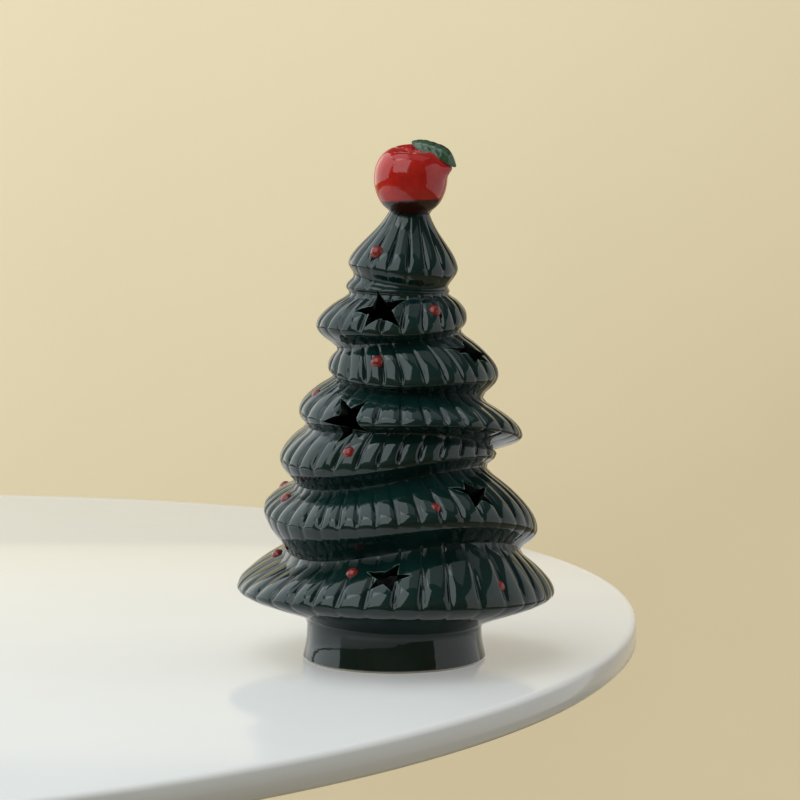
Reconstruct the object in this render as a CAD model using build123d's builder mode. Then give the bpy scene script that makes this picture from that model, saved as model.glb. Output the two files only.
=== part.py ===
from build123d import *
from collections import namedtuple
from math import cos, pi, radians, sin
import os

# Ceramic tree with a small battery light in its foot.
# Millimetres, +Z up, the tree stands on Z = 0 and its front looks along -Y.

os.makedirs("parts", exist_ok=True)

# Casting
tree_height = 172.8        # table to the flat seat under the apple
skirt_reach = 62.0         # the lowest skirt's edge from the axis
wall = 4.5                 # thickness of the slip casting
flute_depth = 1.3          # crest to groove at a skirt's edge
neck_radius = 7.9
foot_height = 16.5         # table to where the lowest skirt's underside meets the foot
foot_waist_radius = 34.2
foot_radius = 35.7
foot_bore_radius = 29.5
foot_ring_round = 1.2

# Stars and berries
star_radius = 9.2
star_inner_share = 0.46
star_tips = 5
berry_radius = 2.5
berry_seat = 0.9           # depth of a berry's flat seat under the slope
berry_gap = 0.1            # around a berry in its seat
seat_gap = 0.02            # clearance of closely seated pieces

# Apple and leaf
apple_radius = 14.2
apple_height = 27.0
apple_tilt = 18.0          # degrees towards the front
apple_set_back = 2.0       # the fruit's axis behind the middle of the neck
leaf_length = 18.0
leaf_width = 8.5
leaf_thickness = 1.8
leaf_turn = -23.0          # degrees from +X about the fruit's axis
leaf_offset = 4.8          # the leaf's midrib behind the fruit's axis

# Light unit
rest_gap = 1.3             # table to the light unit's underside
housing_gap = 1.0          # between the housing and the foot's bore
housing_height = 14.0
moulding = 1.8             # wall of the plastic mouldings
cover_thickness = 2.4
ring_height = 3.0
ring_groove = 0.8
slide_fit = 0.05           # radial clearance of the grip ring in the bore
dome_radius = 15.0
dome_flange = 2.0
dome_rise = 14.0
dome_wall = 1.2
board_gap = 0.5            # between the board and the screw bosses
board_thickness = 1.2
standoff_height = 3.0
standoff_radius = 1.8
led_radius = 1.5
led_height = 4.8
led_ring_radius = 6.0
cell_radius = 10.0
cell_thickness = 3.2
cell_gap = 0.4             # between a cell and the battery bay's wall
strip = 0.3                # thickness of the contact springs
strip_width = 4.0
door_lip = 2.2             # the battery door's overlap around the bay
door_recess = 1.4
door_gap = 0.15
screw_radius = 1.0
screw_head_radius = 1.9
screw_head = 0.7
screw_length = 6.0
boss_radius = 3.0
boss_ring_radius = 22.0
switch_length = 8.6
switch_width = 3.6
switch_height = 3.6
switch_distance = 17.0     # the switch from the unit's axis
switch_travel = 2.0
slider_length = 3.0
slider_width = 1.6
slider_flange = 0.5        # the slider's ledge that keeps it in the switch
slider_flange_height = 1.2
slider_proud = 0.7         # how far the slider stands out of the cover
slider_gap = 0.15
pin_side = 0.6

SKIRT_FIELDS = "flutes edge_shift_share edge_reach_share edge_height_shares "
SKIRT_FIELDS += "tuck_shift_share tuck_reach_share tuck_height_shares swirl_share"
Skirt = namedtuple("Skirt", SKIRT_FIELDS)
# From the top: shifts and reaches are shares of skirt_reach, heights are shares of
# tree_height at the right, back, left and front, and the swirl bends an edge twice around.
# The lowest skirt is tucked in to the foot, so it has no tuck of its own.
SKIRTS = [
    Skirt(17, 0.056, 0.345, (0.881, 0.888, 0.895, 0.875),
          0.045, 0.284, (0.841, 0.854, 0.865, 0.841), 0.002),
    Skirt(17, 0.023, 0.324, (0.830, 0.835, 0.839, 0.832),
          0.035, 0.324, (0.823, 0.825, 0.825, 0.822), 0.000),
    Skirt(22, -0.017, 0.472, (0.769, 0.758, 0.751, 0.740),
          0.030, 0.388, (0.740, 0.715, 0.701, 0.723), 0.005),
    Skirt(26, 0.119, 0.534, (0.638, 0.651, 0.661, 0.630),
          0.083, 0.460, (0.589, 0.616, 0.641, 0.611), -0.009),
    Skirt(30, 0.104, 0.701, (0.499, 0.527, 0.562, 0.550),
          0.032, 0.591, (0.471, 0.495, 0.530, 0.531), -0.015),
    Skirt(30, -0.040, 0.678, (0.459, 0.443, 0.453, 0.459),
          -0.024, 0.594, (0.434, 0.408, 0.401, 0.421), -0.013),
    Skirt(40, 0.041, 0.860, (0.286, 0.312, 0.341, 0.340),
          0.058, 0.721, (0.244, 0.255, 0.253, 0.276), -0.027),
    Skirt(36, 0.010, 1.000, (0.147, 0.150, 0.162, 0.162),
          None, None, None, -0.002),
]
neck_shift_share = 0.095
junction_height_shares = (0.93, 1.00, 1.10, 1.00)   # of foot_height

Star = namedtuple("Star", "skirt azimuth slope_share turn lean")
# Stars: the skirt counted from 0, degrees from +X, share of the way down its slope, turn in its
# plane, and how far that plane leans from the slope towards upright.
STARS = [
    Star(2, -103, 0.41, 14, 0), Star(3, -31, 0.42, -10, 0), Star(4, -124, 0.92, 26, 42),
    Star(6, -50, 0.53, 3, 0), Star(7, -95, 0.45, -17, 0),
    Star(2, 48, 0.50, -6, 0), Star(3, 128, 0.50, 10, 0), Star(4, 62, 0.52, 16, 0),
    Star(6, 118, 0.46, -14, 0), Star(7, 78, 0.42, 5, 0),
]
Berry = namedtuple("Berry", "skirt azimuth slope_share")
BERRIES = [
    Berry(0, -126, 0.74), Berry(2, -54, 0.46), Berry(3, -112, 0.46), Berry(4, -166, 0.50),
    Berry(5, -114, 0.55), Berry(6, -160, 0.42), Berry(6, -74, 0.73), Berry(7, -177, 0.20),
    Berry(7, -111, 0.30), Berry(7, -49, 0.69),
    Berry(0, 65, 0.62), Berry(2, 140, 0.50), Berry(3, 55, 0.50), Berry(4, 112, 0.55),
    Berry(5, 85, 0.55), Berry(6, 75, 0.50), Berry(6, 160, 0.60), Berry(7, 28, 0.45),
    Berry(7, 112, 0.40), Berry(7, 142, 0.60),
]


def save(piece, name):
    """Label a finished piece and write its file."""
    piece.part.label = name
    export_step(piece.part, f"parts/{name}.step")


def around(shares, phi):
    """Smooth value at an angle from those at the right, back, left and front."""
    right, back, left, front = shares
    mean = (right + back + left + front) / 4
    once = (right - left) / 2 * cos(phi) + (back - front) / 2 * sin(phi)
    return mean + once + (right + left - back - front) / 4 * cos(2 * phi)


Ring = namedtuple("Ring", "shift reach heights swirl")


def edge_of(skirt):
    """The widest ring of a skirt."""
    heights = [share * tree_height for share in skirt.edge_height_shares]
    return Ring(
        skirt.edge_shift_share * skirt_reach, skirt.edge_reach_share * skirt_reach, heights,
        skirt.swirl_share * tree_height,
    )


def tuck_of(skirt):
    """The narrow ring under a skirt; the lowest one meets the foot."""
    if skirt is SKIRTS[-1]:
        return Ring(0, foot_waist_radius, [share * foot_height for share in junction_height_shares], 0)
    heights = [share * tree_height for share in skirt.tuck_height_shares]
    return Ring(
        skirt.tuck_shift_share * skirt_reach, skirt.tuck_reach_share * skirt_reach, heights,
        skirt.swirl_share * tree_height,
    )


def flat_ring(reach, height, shift=0):
    """A level circle."""
    return Ring(shift, reach, [height] * 4, 0)


neck = flat_ring(neck_radius, tree_height, neck_shift_share * skirt_reach)


def between(upper, lower, reach_share, height_share):
    """A ring part of the way from one ring to the next."""
    heights = [a + (b - a) * height_share for a, b in zip(upper.heights, lower.heights)]
    return Ring(
        upper.shift + (lower.shift - upper.shift) * reach_share,
        upper.reach + (lower.reach - upper.reach) * reach_share,
        heights,
        upper.swirl + (lower.swirl - upper.swirl) * height_share,
    )


def moved(ring, inward, upward):
    """A ring drawn in and raised."""
    return Ring(ring.shift, ring.reach - inward, [h + upward for h in ring.heights], ring.swirl)


def ring_point(ring, phi, wave=0):
    """The point of a ring at an angle."""
    reach = ring.reach + wave
    height = around(ring.heights, phi) + ring.swirl * sin(2 * phi)
    return Vector(ring.shift + reach * cos(phi), reach * sin(phi), height)


def ring_wire(ring, flutes=6, depth=0):
    """A closed curve around a ring, waved by its flutes, with four points for each flute."""
    count = 4 * flutes
    steps = [step / count for step in range(count + 1)]
    points = []
    for step in steps[:-1]:
        phi = 2 * pi * step
        points.append(ring_point(ring, phi, -depth / 2 * cos(flutes * phi)))
    return Wire([Edge.make_spline(points, periodic=True, parameters=steps)])


def outside_wires():
    """Rings down the glazed outside, from the neck over every skirt to the foot ring."""
    wires = [ring_wire(neck)]
    above = neck
    for skirt in SKIRTS:
        edge = edge_of(skirt)
        tuck = tuck_of(skirt)
        wires.append(ring_wire(between(above, edge, 0.50, 0.46), skirt.flutes, 0.7 * flute_depth))
        wires.append(ring_wire(between(above, edge, 0.93, 0.83), skirt.flutes, flute_depth))
        wires.append(ring_wire(edge, skirt.flutes, flute_depth))
        wires.append(ring_wire(between(edge, tuck, 0.12, 0.30), skirt.flutes, 0.7 * flute_depth))
        wires.append(ring_wire(tuck))
        above = tuck
    wires.append(ring_wire(flat_ring(foot_waist_radius, 0.6 * foot_height)))
    wires.append(ring_wire(flat_ring(foot_radius, foot_ring_round)))
    wires.append(ring_wire(flat_ring(foot_radius - foot_ring_round, 0)))
    return wires


def inside_wires():
    """Rings down the hollow, one wall inside the skirts and without their flutes."""
    wires = [ring_wire(flat_ring(neck_radius / 2, tree_height - 2 * wall, neck.shift))]
    for skirt in SKIRTS:
        if skirt is SKIRTS[1]:
            continue
        wires.append(ring_wire(moved(edge_of(skirt), 1.4 * wall, 0.35 * wall)))
        if skirt is not SKIRTS[-1]:
            wires.append(ring_wire(moved(tuck_of(skirt), 0.9 * wall, 0.45 * wall)))
    floor = tuck_of(SKIRTS[-1])
    wires.append(ring_wire(moved(floor, foot_waist_radius - foot_bore_radius - wall / 4, wall)))
    wires.append(ring_wire(flat_ring(0.9 * foot_bore_radius, foot_height / 2)))
    return wires


def slope_place(place):
    """The point of a place on its skirt's slope and the way the slope faces there."""
    skirt = SKIRTS[place.skirt]
    above = tuck_of(SKIRTS[place.skirt - 1]) if place.skirt else neck
    phi = radians(place.azimuth)
    top = ring_point(above, phi)
    edge = ring_point(edge_of(skirt), phi)
    outward = Vector(cos(phi), sin(phi), 0)
    run = (edge - top).dot(outward)
    facing = outward * (top.Z - edge.Z) + Vector(0, 0, run)
    return top + (edge - top) * place.slope_share, facing.normalized()


def slope_plane(place):
    """A sketch plane lying on a skirt's slope."""
    spot, facing = slope_place(place)
    phi = radians(place.azimuth)
    return Plane(origin=spot, x_dir=(-sin(phi), cos(phi), 0), z_dir=facing)


# Tree: one hollow casting with pierced stars and a flat six-sided seat for every berry
star_points = []
for corner in range(2 * star_tips):
    turn = radians(90 + 180 / star_tips * corner)
    radius = star_radius * star_inner_share if corner % 2 else star_radius
    star_points.append((radius * cos(turn), radius * sin(turn)))

with BuildPart() as star_cutters:
    for star in STARS:
        with BuildSketch(Plane(slope_plane(star).location * Rotation(star.lean, 0, star.turn))):
            with BuildLine():
                Polyline(*star_points, close=True)
            make_face()
        extrude(amount=2.5 * wall, both=True)

with BuildPart() as seat_cutters:
    for place in BERRIES:
        with BuildSketch(slope_plane(place).offset(-berry_seat - seat_gap)):
            RegularPolygon(berry_radius + berry_gap, 6, major_radius=False)
        extrude(amount=2 * wall)

with BuildPart() as tree_shell:
    add(Solid.make_loft(outside_wires(), ruled=True))
    add(Solid.make_loft(inside_wires(), ruled=True), mode=Mode.SUBTRACT)
    Cylinder(
        foot_bore_radius, foot_height + wall,
        align=(Align.CENTER, Align.CENTER, Align.MIN), mode=Mode.SUBTRACT,
    )
    add(star_cutters.part, mode=Mode.SUBTRACT)
    add(seat_cutters.part, mode=Mode.SUBTRACT)
save(tree_shell, "tree_shell")

# Berries: small red beads with flat bases, set into their seats
for number, place in enumerate(BERRIES, start=1):
    seat = slope_plane(place).offset(-berry_seat)
    with BuildPart(seat) as berry:
        with Locations((0, 0, berry_seat)):
            Sphere(berry_radius)
        Box(
            4 * berry_radius, 4 * berry_radius, 4 * berry_radius,
            align=(Align.CENTER, Align.CENTER, Align.MAX), mode=Mode.SUBTRACT,
        )
    save(berry, f"berry_{number:02d}")

# Apple: a turned fruit leaning to the front, its flat base glazed on to the neck
apple_seat = Plane((neck.shift, apple_set_back, tree_height))
apple_axis = Plane(apple_seat.location * Rotation(apple_tilt, 0, 0))
# Points of half the fruit, from the base to the dimple, as shares of its radius and height
APPLE_SHARES = [
    (0.48, -0.08), (0.72, 0.11), (0.90, 0.25), (1.00, 0.54), (0.94, 0.75), (0.76, 0.92), (0.52, 1.00),
    (0.28, 0.96), (0.10, 0.87), (0.0, 0.85),
]


def fruit(grow):
    """The whole fruit about its tilted axis, grown by a clearance."""
    with BuildPart(mode=Mode.PRIVATE) as body:
        with BuildSketch(Plane(apple_axis.origin, x_dir=apple_axis.x_dir, z_dir=-apple_axis.y_dir)):
            with BuildLine():
                side = []
                for r, z in APPLE_SHARES:
                    side.append((r * (apple_radius + grow), z * apple_height + grow))
                curve = Spline(*side)
                Line(curve @ 1, (0, side[0][1]))
                Line((0, side[0][1]), curve @ 0)
            make_face()
        revolve(axis=Axis(apple_axis.origin, apple_axis.z_dir))
    return body.part


with BuildPart() as apple:
    add(fruit(0))
    with Locations(apple_seat):
        Box(
            4 * apple_radius, 4 * apple_radius, apple_height,
            align=(Align.CENTER, Align.CENTER, Align.MAX), mode=Mode.SUBTRACT,
        )
save(apple, "apple")

# Leaf: a bent leaf lying over the apple's right shoulder, its underside shaped by the fruit
leaf_frame = Plane(apple_axis.location * Rotation(0, 0, leaf_turn) * Pos(0, leaf_offset, 0))
leaf_start = -0.11 * apple_radius
with BuildPart() as apple_leaf:
    with BuildSketch(Plane(leaf_frame.origin, x_dir=leaf_frame.x_dir, z_dir=-leaf_frame.y_dir)):
        with BuildLine():
            back = Spline(
                (leaf_start, apple_height),
                (leaf_start + 0.35 * leaf_length, apple_height + 0.9 * leaf_thickness),
                (leaf_start + 0.75 * leaf_length, 0.93 * apple_height + leaf_thickness),
                (leaf_start + leaf_length, 0.77 * apple_height),
            )
            belly = Spline(
                back @ 1,
                (leaf_start + 0.75 * leaf_length, 0.80 * apple_height),
                (leaf_start, 0.90 * apple_height),
            )
            Line(belly @ 1, back @ 0)
        make_face()
    extrude(amount=leaf_width, both=True)
    with BuildSketch(leaf_frame):
        with BuildLine():
            stem_end = (leaf_start, 0)
            tip_end = (leaf_start + leaf_length, 0)
            middle = leaf_start + 0.45 * leaf_length
            Spline(stem_end, (middle, leaf_width / 2), tip_end)
            Spline(tip_end, (middle, -leaf_width / 2), stem_end)
        make_face()
    extrude(amount=2 * apple_height, mode=Mode.INTERSECT)
    add(fruit(seat_gap), mode=Mode.SUBTRACT)
save(apple_leaf, "apple_leaf")

# Levels of the light unit, from the table up
cover_bottom = rest_gap
cover_top = cover_bottom + cover_thickness
housing_top = cover_top + housing_height
board_top = housing_top - moulding - standoff_height
board_bottom = board_top - board_thickness
housing_radius = foot_bore_radius - housing_gap
board_radius = boss_ring_radius - boss_radius - board_gap
bay_radius = cell_radius + cell_gap
door_radius = bay_radius + door_lip
ear_distance = door_radius + screw_head_radius
BOSS_ANGLES = (90, 210, 330)
ABOVE = (Align.CENTER, Align.CENTER, Align.MIN)
BELOW = (Align.CENTER, Align.CENTER, Align.MAX)
slider_offset = -switch_travel / 2   # the slider is modelled at the end that is off


def door_outline(grow):
    """The battery door's round plate with its screw ear, grown by a clearance."""
    Circle(door_radius + grow)
    with Locations((ear_distance, 0)):
        Circle(2 * screw_head_radius + grow)


# Base cover: a plastic disc with the battery bay's wall, the door's recess and the switch slot
with BuildPart() as base_cover:
    with Locations((0, 0, cover_bottom)):
        Cylinder(housing_radius, cover_thickness, align=ABOVE)
    with Locations((0, 0, cover_top)):
        Cylinder(bay_radius + moulding, 2 * cell_thickness - door_recess, align=ABOVE)
    with Locations((ear_distance, 0, cover_top)):
        Cylinder(2 * screw_radius, screw_length - door_recess, align=ABOVE)
    with Locations((0, 0, cover_bottom)):
        Cylinder(bay_radius, housing_height, align=ABOVE, mode=Mode.SUBTRACT)
    with BuildSketch(Plane.XY.offset(cover_bottom)):
        door_outline(door_gap)
    extrude(amount=door_recess, mode=Mode.SUBTRACT)
    with Locations((ear_distance, 0, cover_bottom)):
        Cylinder(screw_radius + seat_gap, housing_height, align=ABOVE, mode=Mode.SUBTRACT)
    with Locations((0, 0, cover_bottom)):
        with PolarLocations(boss_ring_radius, len(BOSS_ANGLES), BOSS_ANGLES[0]):
            Cylinder(screw_radius + seat_gap, cover_thickness, align=ABOVE, mode=Mode.SUBTRACT)
    with Locations((-switch_distance, 0, cover_bottom)):
        Box(
            slider_width + 2 * slider_gap, slider_length + switch_travel + 2 * slider_gap, cover_thickness,
            align=ABOVE, mode=Mode.SUBTRACT,
        )
    with Locations((0, bay_radius, cover_top)):
        Box(
            strip_width + 2 * cell_gap, 4 * moulding, housing_height,
            align=ABOVE, mode=Mode.SUBTRACT,
        )
save(base_cover, "base_cover")

# Light housing: a cup, open below, with screw bosses, board standoffs and the grip ring's groove
with BuildPart() as light_housing:
    with Locations((0, 0, cover_top)):
        Cylinder(housing_radius, housing_height, align=ABOVE)
        Cylinder(housing_radius - moulding, housing_height - moulding, align=ABOVE, mode=Mode.SUBTRACT)
    with Locations((0, 0, cover_top)):
        with PolarLocations(boss_ring_radius, len(BOSS_ANGLES), BOSS_ANGLES[0]):
            Cylinder(boss_radius, housing_height - moulding, align=ABOVE)
            Cylinder(screw_radius + seat_gap, screw_length, align=ABOVE, mode=Mode.SUBTRACT)
    with Locations((0, 0, board_top)):
        with PolarLocations(board_radius - standoff_radius, len(BOSS_ANGLES), 0):
            Cylinder(standoff_radius, standoff_height, align=ABOVE)
    with Locations((0, 0, housing_top)):
        Cylinder(dome_radius - dome_wall, moulding, align=BELOW, mode=Mode.SUBTRACT)
    with BuildSketch(Plane.XY.offset(cover_top + (housing_height - ring_height) / 2)):
        Circle(housing_radius)
        Circle(housing_radius - ring_groove, mode=Mode.SUBTRACT)
    extrude(amount=ring_height, mode=Mode.SUBTRACT)
save(light_housing, "light_housing")

# Grip ring: silicone, in the housing's groove, holding the unit in the foot's bore
with BuildPart(Plane.XY.offset(cover_top + housing_height / 2)) as grip_ring:
    Cylinder(foot_bore_radius - slide_fit, ring_height - 2 * seat_gap)
    Cylinder(housing_radius - ring_groove + seat_gap, ring_height, mode=Mode.SUBTRACT)
save(grip_ring, "grip_ring")

# Diffuser dome: a thin milky dome with a flange, standing on the housing
with BuildPart() as diffuser_dome:
    with BuildSketch(Plane.XZ):
        with BuildLine():
            inner_radius = dome_radius - dome_wall
            flange_top = housing_top + dome_wall
            Polyline(
                (inner_radius, flange_top), (inner_radius, housing_top),
                (dome_radius + dome_flange, housing_top), (dome_radius + dome_flange, flange_top),
                (dome_radius, flange_top),
            )
            outer_top = housing_top + dome_rise
            Spline((dome_radius, flange_top), (0, outer_top), tangents=((0, 1), (-1, 0)))
            Line((0, outer_top), (0, outer_top - dome_wall))
            Spline((0, outer_top - dome_wall), (inner_radius, flange_top), tangents=((1, 0), (0, -1)))
        make_face()
    revolve(axis=Axis.Z)
save(diffuser_dome, "diffuser_dome")

# Circuit board: a disc under the housing's standoffs
with BuildPart(Plane.XY.offset(board_bottom)) as led_board:
    Cylinder(board_radius, board_thickness, align=ABOVE)
save(led_board, "led_board")

# Four warm white LEDs standing on the board
for number in (1, 2, 3, 4):
    turn = radians(90 * number - 45)
    spot = Plane((led_ring_radius * cos(turn), led_ring_radius * sin(turn), board_top))
    with BuildPart(spot) as led:
        Cylinder(led_radius, led_height - led_radius, align=ABOVE)
        with Locations((0, 0, led_height - led_radius)):
            Sphere(led_radius)
    save(led, f"led_{number}")

# Two coin cells, stacked in the battery bay on the door
for number in (1, 2):
    with BuildPart(Plane.XY.offset(cover_top + (number - 1) * cell_thickness)) as coin_cell:
        Cylinder(cell_radius, cell_thickness, align=ABOVE)
    save(coin_cell, f"coin_cell_{number}")

# Minus spring: a bent strip from the board down to the upper cell
with BuildPart() as contact_minus:
    with BuildSketch(Plane.XZ):
        with BuildLine():
            high = board_bottom - strip / 2
            low = cover_top + 2 * cell_thickness + strip / 2
            Polyline(
                (-cell_radius / 2, high), (-cell_radius / 8, high),
                (cell_radius / 3, low), (cell_radius / 2, low),
            )
        trace(line_width=strip)
    extrude(amount=strip_width / 2, both=True)
save(contact_minus, "contact_minus")

# Plus spring: an angle strip from the board down along the cells' rims
plus_bottom = cover_top + cell_thickness / 2
with BuildPart() as contact_plus:
    with Locations((0, cell_radius + seat_gap, plus_bottom)):
        Box(strip_width, strip, board_bottom - plus_bottom, align=(Align.CENTER, Align.MIN, Align.MIN))
    with Locations((0, cell_radius + seat_gap, board_bottom)):
        Box(strip_width, strip_width, strip, align=(Align.CENTER, Align.MIN, Align.MAX))
save(contact_plus, "contact_plus")

# Battery door: a plate with a plug and a screw ear, flush in the cover
with BuildPart() as battery_door:
    with BuildSketch(Plane.XY.offset(cover_bottom)):
        door_outline(0)
    extrude(amount=door_recess - seat_gap)
    with Locations((0, 0, cover_bottom)):
        Cylinder(bay_radius - door_gap, cover_thickness, align=ABOVE)
    with Locations((ear_distance, 0, cover_bottom)):
        Cylinder(screw_radius + seat_gap, door_recess, align=ABOVE, mode=Mode.SUBTRACT)
save(battery_door, "battery_door")


def screw(spot, name):
    """A pan-head screw under the cover with its shank up."""
    with BuildPart(Plane(spot)) as piece:
        Cylinder(screw_head_radius, screw_head, align=BELOW)
        Cylinder(screw_radius, screw_length, align=ABOVE)
    save(piece, name)


# Screws: one keeps the battery door shut, three hold the cover to the housing
screw((ear_distance, 0, cover_bottom), "door_screw")
for number, angle in enumerate(BOSS_ANGLES, start=1):
    turn = radians(angle)
    screw((boss_ring_radius * cos(turn), boss_ring_radius * sin(turn), cover_bottom), f"cover_screw_{number}")

# Slide switch: its case on the cover, its slider through the cover's slot and two pins up to the board
with BuildPart(Plane((-switch_distance, 0, cover_top))) as switch_body:
    Box(switch_width, switch_length, switch_height, align=ABOVE)
    Box(
        slider_width + 2 * (slider_flange + slider_gap),
        slider_length + switch_travel + 2 * (slider_flange + slider_gap),
        slider_flange_height + 2 * slider_gap,
        align=ABOVE, mode=Mode.SUBTRACT,
    )
save(switch_body, "switch_body")

with BuildPart(Plane((-switch_distance, slider_offset, cover_top + slider_gap))) as switch_slider:
    Box(
        slider_width + 2 * slider_flange, slider_length + 2 * slider_flange, slider_flange_height,
        align=ABOVE,
    )
    Box(slider_width, slider_length, cover_thickness + slider_proud + slider_gap, align=BELOW)
save(switch_slider, "switch_slider")

for number, side in ((1, -1), (2, 1)):
    with BuildPart(Plane((-switch_distance, side * switch_length / 4, cover_top + switch_height))) as switch_pin:
        Box(pin_side, pin_side, board_bottom - cover_top - switch_height, align=ABOVE)
    save(switch_pin, f"switch_pin_{number}")
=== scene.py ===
import bpy
import numpy as np
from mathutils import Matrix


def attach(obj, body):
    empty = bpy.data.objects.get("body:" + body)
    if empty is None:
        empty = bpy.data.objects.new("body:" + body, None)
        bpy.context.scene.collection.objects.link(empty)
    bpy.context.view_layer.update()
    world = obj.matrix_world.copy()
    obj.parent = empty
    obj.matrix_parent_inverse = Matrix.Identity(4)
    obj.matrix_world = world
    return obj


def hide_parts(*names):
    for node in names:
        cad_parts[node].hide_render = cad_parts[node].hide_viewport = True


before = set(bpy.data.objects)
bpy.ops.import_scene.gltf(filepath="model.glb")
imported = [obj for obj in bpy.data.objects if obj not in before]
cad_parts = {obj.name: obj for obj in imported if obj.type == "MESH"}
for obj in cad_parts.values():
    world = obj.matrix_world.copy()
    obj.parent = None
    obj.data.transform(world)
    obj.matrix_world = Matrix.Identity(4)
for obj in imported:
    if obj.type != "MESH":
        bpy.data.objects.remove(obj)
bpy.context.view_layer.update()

# Tree casting: one hollow stoneware slip casting, foot and skirts together, its flutes pressed
# into the plaster mould. The stars are cut through the soft clay with a knife, then the whole
# is dipped in a dark green gloss glaze that breaks paler along the ridges and cut edges. The pale
# star edges are partly thin glaze and partly a painted highlight.
TREE_HEIGHT = 0.1728
SKIRT_REACH = 0.062
FOOT_HEIGHT = 0.0165
FOOT_WAIST = 0.0342
FOOT_RADIUS = 0.0357
FOOT_BORE = 0.0295
FOOT_CHAMFER = 0.0012
BORE_CHAMFER = 0.0006
NECK_RADIUS = 0.0079
NECK_SHIFT = 0.095 * SKIRT_REACH
NECK_RISE = 0.0007
WALL = 0.0045
FLUTE_DEPTH = 0.0019
SCALLOP = 0.0011
CREASE = 0.0032
AROUND = 630
SMOOTHINGS = 2
# Each skirt from the top: flutes, then for its edge and for the tuck under it the sideways shift,
# the reach and the heights at right, back, left and front, and last the swirl of both.
SKIRTS = [
    (17, 0.056, 0.345, (0.881, 0.888, 0.895, 0.875), 0.045, 0.284, (0.841, 0.854, 0.865, 0.841), 0.002),
    (17, 0.023, 0.324, (0.830, 0.835, 0.839, 0.832), 0.035, 0.324, (0.823, 0.825, 0.825, 0.822), 0.000),
    (22, -0.017, 0.472, (0.769, 0.758, 0.751, 0.740), 0.030, 0.388, (0.740, 0.715, 0.701, 0.723), 0.005),
    (26, 0.119, 0.534, (0.638, 0.651, 0.661, 0.630), 0.083, 0.460, (0.589, 0.616, 0.641, 0.611), -0.009),
    (30, 0.104, 0.701, (0.499, 0.527, 0.562, 0.550), 0.032, 0.591, (0.471, 0.495, 0.530, 0.531), -0.015),
    (30, -0.040, 0.678, (0.459, 0.443, 0.453, 0.459), -0.024, 0.594, (0.434, 0.408, 0.401, 0.421), -0.013),
    (40, 0.041, 0.860, (0.286, 0.312, 0.341, 0.340), 0.058, 0.721, (0.244, 0.255, 0.253, 0.276), -0.027),
    (36, 0.010, 1.000, (0.147, 0.150, 0.162, 0.162), 0.000, 0.558, (0.089, 0.095, 0.105, 0.095), -0.002),
]
JUNCTION = (0.93, 1.00, 1.10, 1.00)


def around(four, phi):
    """Value at an angle: the mean of the four sides, plus a once-around and a twice-around wave."""
    right, back, left, front = four
    once = (right - left) / 2 * np.cos(phi) + (back - front) / 2 * np.sin(phi)
    return (right + back + left + front) / 4 + once + (right + left - back - front) / 4 * np.cos(2 * phi)


def skirt_ring(number, part, phi):
    """(shift, reach, height) of a skirt's edge or tuck: height is a share of the tree's, with its swirl."""
    flutes, edge_shift, edge_reach, edge_heights, tuck_shift, tuck_reach, tuck_heights, swirl = SKIRTS[number]
    if part == "tuck" and number == len(SKIRTS) - 1:
        return 0.0, FOOT_WAIST, FOOT_HEIGHT * around(JUNCTION, phi)
    shift, reach, heights = edge_shift, edge_reach, edge_heights
    if part == "tuck":
        shift, reach, heights = tuck_shift, tuck_reach, tuck_heights
    height = TREE_HEIGHT * (around(heights, phi) + swirl * np.sin(2 * phi))
    return shift * SKIRT_REACH, reach * SKIRT_REACH, height


def ring_above(number, phi):
    """The ring where a skirt's slope begins: the tuck over it, or the neck, which rises to the left."""
    if number == 0:
        return NECK_SHIFT, NECK_RADIUS, TREE_HEIGHT + NECK_RISE * (1 - np.cos(phi))
    return skirt_ring(number - 1, "tuck", phi)


def ease(low, high, value):
    """Smooth step: 0 below low, 1 above high, 3t^2 - 2t^3 between."""
    t = np.clip((value - low) / (high - low), 0, 1)
    return t * t * (3 - 2 * t)


def bend(first, second, u):
    """Cubic Bezier progress from 0 to 1 with the two inner control values."""
    return 3 * u * (1 - u) ** 2 * first + 3 * u ** 2 * (1 - u) * second + u ** 3


def pillow(number, phi, u):
    """Flute wave of a skirt over rows u: round ribs 1 - (2g)^2 between narrow grooves exp(-(d / 0.10)^2).

    g is the distance from a rib's crest and d that from the groove, as shares of the flutes' pitch. Slow
    waves around the skirt make the ribs uneven in width, and a drift down the slope makes them wander.
    """
    uneven = 0.018 * np.sin(3 * phi + number) + 0.011 * np.sin(7 * phi + 2.3 * number)
    drift = 0.014 * u[:, None] * np.sin(5 * phi + 1.3 * number)
    crest = np.abs(np.mod(SKIRTS[number][0] * (phi + uneven + drift) / (2 * np.pi), 1) - 0.5)
    wave = 0.44 * (1 - (2 * crest) ** 2) - 0.50 * np.exp(-((0.5 - crest) / 0.10) ** 2) - 0.20
    press = 0.90 + 0.25 * np.sin(5 * phi + 1.7 * number) * np.cos(2 * phi - number)
    if number == 1:
        press = press * (0.5 - 0.5 * np.cos(phi + 0.5)) ** 1.5
    return wave * press


def band(start, end, reach_bend, height_bend, u):
    """Rows from one ring to the next: shift and reach follow one Bezier progress, height another."""
    p = bend(*reach_bend, u)[:, None]
    q = bend(*height_bend, u)[:, None]
    shift = start[0] + (end[0] - start[0]) * p
    reach = start[1] + (end[1] - start[1]) * p
    return [shift + 0 * end[2], reach + 0 * end[2], start[2] + (end[2] - start[2]) * q]


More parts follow.
